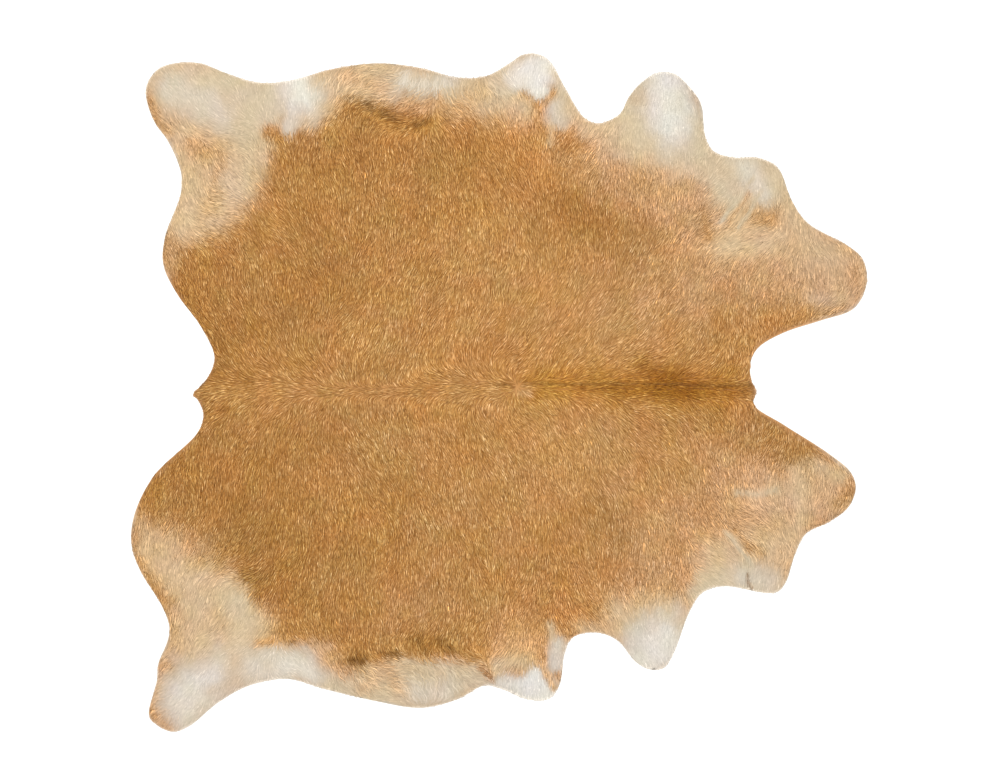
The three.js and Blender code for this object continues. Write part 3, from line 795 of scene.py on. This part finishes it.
def long_lock():
    """The same for a long lock, with rings across it so that it can be bent into a curl."""
    lock, tip = three_sided_cone()
    cap = min(lock.faces, key=lambda face: face.calc_center_median().z)
    root = bmesh.ops.poke(lock, faces=[cap])["verts"][0]
    for vert in lock.verts:
        vert.co.z = 0.0 if vert == root else 1.0 if vert == tip else WIDEST
    for cut in LONG_CUTS:
        bmesh.ops.bisect_plane(
            lock, geom=lock.verts[:] + lock.edges[:] + lock.faces[:],
            plane_co=(0, 0, cut), plane_no=(0, 0, 1), dist=1e-6,
        )
    bmesh.ops.triangulate(lock, faces=lock.faces)
    for vert in lock.verts:
        vert.co = (vert.co.z, vert.co.x, vert.co.y)
    return template_of(lock)


SHORT_LOCK = short_lock()
LONG_LOCK = long_lock()
print("faces of a short lock:", len(SHORT_LOCK[1]), "and of a long one:", len(LONG_LOCK[1]))

# %% [markdown]
# The locks are far too many for an object each. Their roots are laid out on a shaken grid, and
# every lock is bent, widened and coloured at once with arrays, then a band of them is joined
# into one mesh. A band spans the hide from side to side, so that each stays a light piece.

# %% Roots on a shaken grid
ROOT_STEP = 4.05 * MM
ROOTS_FROM_RIM = 1.0 * MM


def shaken_grid(step, seed):
    """Places over the whole hide about a step apart, only those inside the rim."""
    rng = np.random.default_rng(seed)
    x = np.arange(hide_low.x, hide_high.x, step)
    y = np.arange(hide_low.y, hide_high.y, step)
    places = np.stack(np.meshgrid(x, y), axis=-1).reshape(-1, 2)
    places = places + rng.uniform(-0.5, 0.5, places.shape) * step
    return places[read_grid(rim_distance_grid, places) > ROOTS_FROM_RIM]


roots = shaken_grid(ROOT_STEP, 31)
print("short locks:", len(roots))

# %% [markdown]
# A lock that lies high catches the light over its whole length and reads as a bright streak. The
# ones below it show only between, darker. So each lock gets a rank, from its row and by chance,
# and with the rank rise its height and the painted light in its colour; low locks get painted
# shade. In cream hair the locks are wider and lie closer, so that it looks even. A lock that
# passes the rim is clipped there.

# %% Places and looks of the short locks
LOCK_LENGTH = 27 * MM
LOCK_WIDTH = 2.3 * MM
HAIR_ROOM = 1.8 * MM  # how high the hair may stand over the leather
MOST_CURL = np.radians(42)
ROW_RANK, CHANCE_RANK = 0.35, 0.42  # how much a lock's rank owes to its row and to chance
HEADING_SPREAD, CURL_SPREAD = np.radians(2.5), np.radians(5)
LENGTH_SPREAD = 0.16
AHEAD = 0.8  # how far along a lock the chart is read again, to bend it
CREAM_WIDER = 0.4
RISE, RISE_BY_RANK = 0.62, 0.7
CREAM_LOWER, CREAM_LEVEL = 0.25, 0.85  # cream hair rises less, and its ranks differ less
CLIP_SPREAD = 2.4  # mm that the clipped ends reach different depths in from the rim
CLIP_ROUNDS, CLIP_SHARE = 5, 0.7  # rounds of clipping, and what each leaves of a lock


def along_heading(heading):
    """Steps of length 1 along a heading, as x and y."""
    return np.stack([np.cos(heading), np.sin(heading)], axis=-1)


def comb(roots, seed, length, width, room):
    """What each lock is like: a dictionary of arrays, one value a lock."""
    rng = np.random.default_rng(seed)
    count = len(roots)
    rows = rows_of_hair(roots, seed + 2)
    by_chance = CHANCE_RANK * (rng.uniform(0, 1, count) - 0.5)
    rank = np.clip(0.5 + ROW_RANK * rows + by_chance, 0, 1)
    coat = coat_colour(roots)
    calm = calm_of(coat)
    lie = lie_of_hair(roots)
    heading = lie + HEADING_SPREAD * rng.standard_normal(count)
    lengths = length * np.clip(1 + LENGTH_SPREAD * rng.standard_normal(count), 0.6, 1.5)
    turn = lie_of_hair(roots + AHEAD * lengths[:, None] * along_heading(lie)) - lie
    curl = np.clip(np.arctan2(np.sin(turn), np.cos(turn)), -MOST_CURL, MOST_CURL)
    curl += CURL_SPREAD * rng.standard_normal(count)
    middle = along_heading(heading + curl / 2)
    clipped_at = rng.uniform(0.0, CLIP_SPREAD, count) * MM
    for _ in range(CLIP_ROUNDS):
        tips = roots + lengths[:, None] * middle
        lengths[read_grid(rim_distance_grid, tips) < clipped_at] *= CLIP_SHARE
    left = lengths / length
    rise = RISE - CREAM_LOWER * calm + RISE_BY_RANK * (rank - 0.5) * (1 - CREAM_LEVEL * calm)
    widths = width * rng.uniform(0.75, 1.25, count)
    return {
        "root": roots,
        "rank": rank,
        "heading": heading,
        "length": lengths,
        "width": widths * np.clip(left, 0.55, 1.1) * (1 + CREAM_WIDER * calm),
        "curl": curl,
        "rise": rise * room * np.clip(left, 0.4, 1),
        "coat": coat,
        "calm": calm,
        "shade": rng.standard_normal(count),
        "sway": np.zeros(count),
        "phase": np.zeros(count),
    }


short_locks = comb(roots, 41, LOCK_LENGTH, LOCK_WIDTH, HAIR_ROOM)

# %% [markdown]
# The colour of a lock starts from the marks of the coat. Then come the slow drift of the coat,
# painted light on locks of high rank and painted shade on those of low rank, and a little that
# is its own. Towards the root a tan lock is darker, where less light reaches it. A tan lock is
# shaded round, and a cream one flat, which looks even and catches more light, so its colour is
# darkened by as much.

# %% Colours of the locks
LIGHTER = np.array([0.75, 1.05, 1.6])  # brighter hair is less saturated and darker hair redder, in the coat's own tone and in the painted light and shade of rank and root
LIGHTER_IN_CREAM = np.array([0.95, 1.05, 1.2])  # cream hair keeps its tint in the shade
# each as depth, size in mm and seed
DRIFT = [(0.06, 160, 51), (0.06, 62, 52), (0.04, 24, 53)]
WARM = [(0.05, 110, 55), (0.05, 40, 56)]
ROSY = [(0.04, 48, 57)]
EVENED = 0.75  # how much of the drifts cream hair loses
# painted light on locks of high rank and painted shade on those of low rank, and the lock's own
# random tone
LIGHT_AND_SHADE_BY_RANK, OWN_BY_CHANCE = 0.95, 0.19
FLAT_FROM, FLAT_BORDER = 0.5, 0.12  # how calm the coat is where locks lie flat, and its border
FLAT_DARKER, FLAT_DARKER_IN_CREAM = 0.77, 0.185  # what is left of a flat lock's colour
ROOT_TONE = -0.4


def lies_flat(locks):
    """True for cream locks, with a soft border to the tan ones."""
    return locks["calm"] + FLAT_BORDER * locks["shade"] > FLAT_FROM


def lock_colours(locks):
    """Linear colours at the root and at the tip of each lock."""
    places, calm, flat = locks["root"], locks["calm"], lies_flat(locks)
    even = 1 - EVENED * calm
    # the rank part is painted light and painted shade; the chance part is the lock's own tone
    own = LIGHT_AND_SHADE_BY_RANK * (locks["rank"] - 0.5) + OWN_BY_CHANCE * locks["shade"]
    own_share = np.where(flat, 1.4 - 1.15 * calm, 1 - 0.92 * calm)
    tone = drift_of(places, DRIFT) * even + own * own_share
    tone += np.where(flat, np.log(FLAT_DARKER - FLAT_DARKER_IN_CREAM * calm), 0.0)
    warm, rosy = [drift_of(places, waves) * (0.4 + 0.6 * even) for waves in (WARM, ROSY)]
    tint = [1 + 0.4 * warm + 0.5 * rosy, 1 - 0.3 * warm - 0.5 * rosy, 1 - 1.6 * warm + rosy]
    lighter = LIGHTER + calm[:, None] * (LIGHTER_IN_CREAM - LIGHTER)
    light = np.exp(tone[:, None] * np.where(flat[:, None], 1.0, lighter))
    tip = locks["coat"] * light * np.stack(tint, axis=-1)
    return tip * np.exp((ROOT_TONE * (1 - calm))[:, None] * lighter), tip


# %% [markdown]
# Now a lock's template is stretched along its own bent line. Each corner knows how far along
# it is, so its place is the root, plus the way along the arc, plus its offset across and up.
# Locks also carry a map: a small cell of the unit square for each, root at one side, tip at the
# other, so that any program that bakes the coat gives every lock its own colours.

# %% Join locks into one mesh
WAVES = 1.15  # how many waves a long curl has from root to tip
TIP_HEIGHT = 0.6  # how high the tip lies, as a share of the widest place's height
BODY, CREAM_THINNER = 0.22, 0.15  # thickness as a share of the width, and how much less in cream
SUNK = 0.2 * MM  # how far a root may sink into the leather
ROOT_SHARE = 0.55  # the dark of the root fades over this share of a lock
CELL_EDGE, CELL_INSIDE = 0.08, 0.84  # shares of a cell of the map


def arc_places(locks, along, across, up):
    """Places of the corners of all locks: arrays of locks by corners by x, y, z."""
    heading = locks["heading"][:, None] + locks["curl"][:, None] * along / 2
    way = locks["length"][:, None] * along
    start = 2 * math.pi * locks["phase"][:, None]
    sway = np.sin(start + 2 * math.pi * WAVES * along) - np.sin(start)
    side = locks["width"][:, None] * across + locks["sway"][:, None] * sway
    x = locks["root"][:, 0, None] + way * np.cos(heading) - side * np.sin(heading)
    y = locks["root"][:, 1, None] + way * np.sin(heading) + side * np.cos(heading)
    places = np.stack([x, y], axis=-1)
    ground = read_grid(leather_top_grid, places)
    hump = np.interp(along, [0.0, WIDEST, 1.0], [0.0, 1.0, TIP_HEIGHT])
    body = (BODY - CREAM_THINNER * locks["calm"]) * locks["width"]
    z = ground + locks["rise"][:, None] * hump + body[:, None] * up
    return np.concatenate([places, np.maximum(z, ground - SUNK)[..., None]], axis=-1)


def colour_corners(mesh, colours):
    """Gives each corner of a mesh its own linear colour, with red, green, blue and alpha."""
    own = mesh.attributes.new("hair_colour", "FLOAT_COLOR", "POINT")
    alpha = np.ones(colours.shape[:-1] + (1,))
    colours = np.concatenate([colours, alpha], axis=-1)
    own.data.foreach_set("color", colours.astype(np.float32).ravel())


def join_locks(name, locks, template, material):
    """One mesh object out of many locks."""
    corners, faces = template
    along, across, up = corners.T
    count, per_lock = len(locks["root"]), len(corners)
    indices = (faces[None] + per_lock * np.arange(count)[:, None, None]).reshape(-1)
    mesh = bpy.data.meshes.new(name)
    mesh.vertices.add(count * per_lock)
    places = arc_places(locks, along, across, up)
    mesh.vertices.foreach_set("co", places.astype(np.float32).ravel())
    mesh.loops.add(len(indices))
    mesh.loops.foreach_set("vertex_index", indices.astype(np.int32))
    mesh.polygons.add(len(indices) // 3)
    mesh.polygons.foreach_set("loop_start", np.arange(0, len(indices), 3, dtype=np.int32))
    mesh.update(calc_edges=True)
    mesh.validate()
    deep, light = lock_colours(locks)
    blend = np.clip(along / ROOT_SHARE, 0, 1)[None, :, None]
    colour_corners(mesh, deep[:, None, :] * (1 - blend) + light[:, None, :] * blend)
    cells = math.ceil(math.sqrt(count))
    cell_u, cell_v = np.arange(count) % cells, np.arange(count) // cells
    spread = across / max(np.ptp(across), 1e-9) + 0.5
    u = (cell_u[:, None] + CELL_EDGE + CELL_INSIDE * along[None]) / cells
    v = (cell_v[:, None] + CELL_EDGE + CELL_INSIDE * spread[None]) / cells
    corner_uv = np.stack([u, v], axis=-1).reshape(-1, 2)[indices]
    bake_map = mesh.uv_layers.new(name="OFBake")
    bake_map.data.foreach_set("uv", corner_uv.astype(np.float32).ravel())
    mesh.materials.append(material)
    mesh.polygons.foreach_set("use_smooth", np.repeat(~lies_flat(locks), len(faces)))
    print(name, "has", count, "locks and", len(indices) // 3, "triangles")
    return add_object(name, mesh)


# %% [markdown]
# A material is a small net of nodes. One function adds a node with its settings and its links,
# so that each finish reads as a list.


# %% Helpers for materials
def new_material(name, values):
    """A material with an empty net but for its shader and output, with the shader's values."""
    material = bpy.data.materials.new(name)
    material.use_nodes = True
    shader = material.node_tree.nodes["Principled BSDF"]
    for key, value in values.items():
        shader.inputs[key].default_value = value
    return material, material.node_tree, shader


def add_node(net, kind, settings=None, inputs=None):
    """Adds a node. Inputs are given by name, as a value or as another node's output."""
    node = net.nodes.new(kind)
    for key, value in (settings or {}).items():
        setattr(node, key, value)
    for key, value in (inputs or {}).items():
        if isinstance(value, bpy.types.NodeSocket):
            net.links.new(value, node.inputs[key])
        else:
            node.inputs[key].default_value = value
    return node


def add_noise(net, size, **inputs):
    """Noise over the object itself, with hills `size` metres apart."""
    place = add_node(net, "ShaderNodeTexCoord").outputs["Object"]
    noise = add_node(net, "ShaderNodeTexNoise", {}, {"Vector": place, "Scale": 1 / size, **inputs})
    return noise.outputs["Fac"]


def colour_by(net, shader, noise, *stops):
    """Colours the material by noise, between stops of a position and a hex colour."""
    ramp = add_node(net, "ShaderNodeValToRGB", {}, {"Fac": noise})
    for element, (position, hex_colour) in zip(ramp.color_ramp.elements, stops):
        element.position = position
        element.color = (*linear(hex_colour), 1)
    net.links.new(ramp.outputs["Color"], shader.inputs["Base Color"])


def colour_by_corners(net, shader):
    """Colours the material by the colours that the mesh's corners bring."""
    own_colour = add_node(net, "ShaderNodeAttribute", {"attribute_name": "hair_colour"})
    net.links.new(own_colour.outputs["Color"], shader.inputs["Base Color"])


# %% [markdown]
# Cow hair is keratin: smooth scales with an IOR of 1.55 and a soft gloss along the hair. A coat of
# it gives a broad satin sheen and no sharp highlight. Single hairs are a twentieth of a
# millimetre thick and would not show in the render, so nothing finer than a lock is drawn, and
# each lock brings its own colour. The short locks are sorted along the spine and joined into
# five bands.

# %% Material of short cow hair, and the bands of short locks
coat_hair, net, shader = new_material(
    "cow_hair_combed_flat", {"Roughness": 0.62, "IOR": 1.55, "Specular IOR Level": 0.1}
)
colour_by_corners(net, shader)
BANDS = 5
order = np.argsort(short_locks["root"][:, 0], kind="stable")
bands = []
for number, part in enumerate(np.array_split(order, BANDS)):
    band = {key: values[part] for key, values in short_locks.items()}
    bands.append(join_locks(f"coat_band_{number + 1}", band, SHORT_LOCK, coat_hair))

# %% [markdown]
# At both flanks the belly hair is nearly twice as long and lies in loose curls, and a small tuft
# stands at the nape. These locks lie over the short ones. They are bent and swayed, and
# neighbours sway together, so that they gather into curls.

# %% Long curly hair at the flanks and the nape
CURL_STEP = 6.2 * MM
CURL_LENGTH = 46 * MM
CURL_WIDTH = 3.0 * MM
CURL_ROOM = 4.2 * MM
CURL_SWAY = 0.08  # how far a curl sways, as a share of its length
CURL_CALM = 0.9  # cream curls differ a little more than short cream hair
# reach and places in the photo's pixels: both flank pads, the curls at -Y and the nape
LONG_HAIR = [
    (18, (335, 84), (395, 88), (485, 96)),
    (16, (345, 682), (400, 680), (470, 682)),
    (10, (412, 648), (462, 648)),
    (5, (756, 390), (756, 402)),
]

curl_roots = shaken_grid(CURL_STEP, 61)
grows = [np.exp(-(share_of_reach(curl_roots, reach, line) ** 4)) for reach, *line in LONG_HAIR]
chance = np.random.default_rng(62)
curl_roots = curl_roots[chance.uniform(0, 1, len(curl_roots)) < np.max(grows, axis=0)]
curly_locks = comb(curl_roots, 63, CURL_LENGTH, CURL_WIDTH, CURL_ROOM)
curly_locks["calm"] = CURL_CALM * curly_locks["calm"]
curly_locks["sway"] = CURL_SWAY * curly_locks["length"]
own_phase = 0.05 * chance.standard_normal(len(curl_roots))
curly_locks["phase"] = soft_noise(curl_roots, 48 * MM, 64) + own_phase
curls = join_locks("coat_long_curls", curly_locks, LONG_LOCK, coat_hair)

# %% [markdown]
# The hair side of the leather hardly shows, only as a warm ground between the locks. It takes
# the coat's own colour, darkened as painted shade between the locks. The cut edge is raw leather,
# pale and fibrous, and the flesh side is a matt off-white suede: tanned with chrome salts, shaved,
# and buffed with fine grit.

# %% Finish the leather's mesh
EDGE_ROUND = 1.3 * MM
GROUND_SHADE_IN_TAN = np.array([0.8, 0.74, 0.66])  # painted shade of the ground between the locks, against the hair
GROUND_LESS_SHADED_IN_CREAM = np.array([0.12, 0.18, 0.27])
bevelled = bmesh.ops.bevel(
    leather_shape, geom=rim_edges, offset=EDGE_ROUND, offset_type="OFFSET", segments=2,
    affect="EDGES", profile=0.5, material=-1,
)
for face in leather_shape.faces:
    face.material_index = side_of(face)
for face in bevelled["faces"]:
    face.material_index = EDGE_SIDE
upper_edges = [
    edge
    for edge in leather_shape.edges
    if all(face.material_index == HAIR_SIDE for face in edge.link_faces)
]
bmesh.ops.subdivide_edges(leather_shape, edges=upper_edges, cuts=1, use_grid_fill=True)
bmesh.ops.triangulate(leather_shape, faces=leather_shape.faces)
for face in leather_shape.faces:
    face.smooth = face.material_index == HAIR_SIDE
flesh_faces = [face for face in leather_shape.faces if face.material_index == FLESH_SIDE]
leather_area = sum(face.calc_area() for face in flesh_faces)
leather_mesh = bpy.data.meshes.new("hide_leather")
leather_shape.to_mesh(leather_mesh)
leather_shape.free()
leather = add_object("hide_leather", leather_mesh)
ground = coat_colour(np.array([vert.co.xy for vert in leather_mesh.vertices]))
# the coat's colour, darkened as painted shade between the locks, less in cream
ground *= GROUND_SHADE_IN_TAN + calm_of(ground)[:, None] * GROUND_LESS_SHADED_IN_CREAM
colour_corners(leather_mesh, ground)
print("leather:", len(leather_mesh.polygons), "faces,", round(leather_area, 3), "square metres")

# %% Materials: suede flesh side, cut edge and hair roots
flesh, net, shader = new_material(
    "chrome_tanned_suede_buffed", {"Roughness": 0.92, "Specular IOR Level": 0.2}
)
mottle = add_noise(net, 0.12, Detail=6.0, Roughness=0.6)
colour_by(net, shader, mottle, (0.32, "#B9AB95"), (0.7, "#D6CCBB"))
nap = add_noise(net, 0.004, Detail=4.0, Roughness=0.7)
nap_values = {"Height": nap, "Strength": 0.5, "Distance": 0.6 * MM}
nap_bump = add_node(net, "ShaderNodeBump", {}, nap_values)
net.links.new(nap_bump.outputs["Normal"], shader.inputs["Normal"])

edge_cut, net, shader = new_material("raw_leather_knife_cut", {"Roughness": 0.85})
fibres = add_noise(net, 0.003, Detail=3.0)
colour_by(net, shader, fibres, (0.0, "#A99C8C"), (1.0, "#CFC5B6"))

roots_ground, net, shader = new_material("hair_roots_on_grain_side", {"Roughness": 0.8})
colour_by_corners(net, shader)
for material in (flesh, edge_cut, roots_ground):
    leather_mesh.materials.append(material)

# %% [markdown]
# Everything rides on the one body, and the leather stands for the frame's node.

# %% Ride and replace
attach(leather, "root")
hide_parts("hide")
for piece in bands + [curls]:
    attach(piece, "root")

# %% [markdown]
# The studio is a near-white floor under a large soft light and a pale sky, so that shadows are
# faint and the colour of the coat comes out plainly.

# %% Floor, lights and sky
FLOOR_HALF = 12.0
FLOOR_DROP = 0.3 * MM  # how far the floor lies under the hide, so that the two don't flicker
SOFT_BOX_SIZE = 3.6
SOFT_BOX_PLACE = (-0.5, 0.8, 4.6)
floor_shape = bmesh.new()
bmesh.ops.create_grid(floor_shape, x_segments=8, y_segments=8, size=FLOOR_HALF)
floor_mesh = bpy.data.meshes.new("studio_floor")
floor_shape.to_mesh(floor_mesh)
floor_shape.free()
floor = add_object("studio_floor", floor_mesh)
floor.location.z = -FLOOR_DROP
floor_paint, net, shader = new_material(
    "matt_white_floor_paint",
    {"Base Color": (*linear("#F4F3F1"), 1), "Roughness": 0.9, "Specular IOR Level": 0.1},
)
floor_mesh.materials.append(floor_paint)

soft_box = bpy.data.lights.new("soft_box", "AREA")
soft_box.shape = "RECTANGLE"
soft_box.size = soft_box.size_y = SOFT_BOX_SIZE
soft_box.energy = 136.0
soft_box_object = add_object("soft_box", soft_box)
soft_box_object.location = SOFT_BOX_PLACE
aim = Vector((0, 0, 0)) - soft_box_object.location
soft_box_object.rotation_euler = aim.to_track_quat("-Z", "Y").to_euler()
sky = bpy.data.worlds.new("pale_studio")
sky.use_nodes = True
background = sky.node_tree.nodes["Background"]
background.inputs["Color"].default_value = (1.0, 1.0, 1.0, 1.0)
background.inputs["Strength"].default_value = 1.16
bpy.context.scene.world = sky
bpy.context.scene.view_settings.view_transform = "Standard"
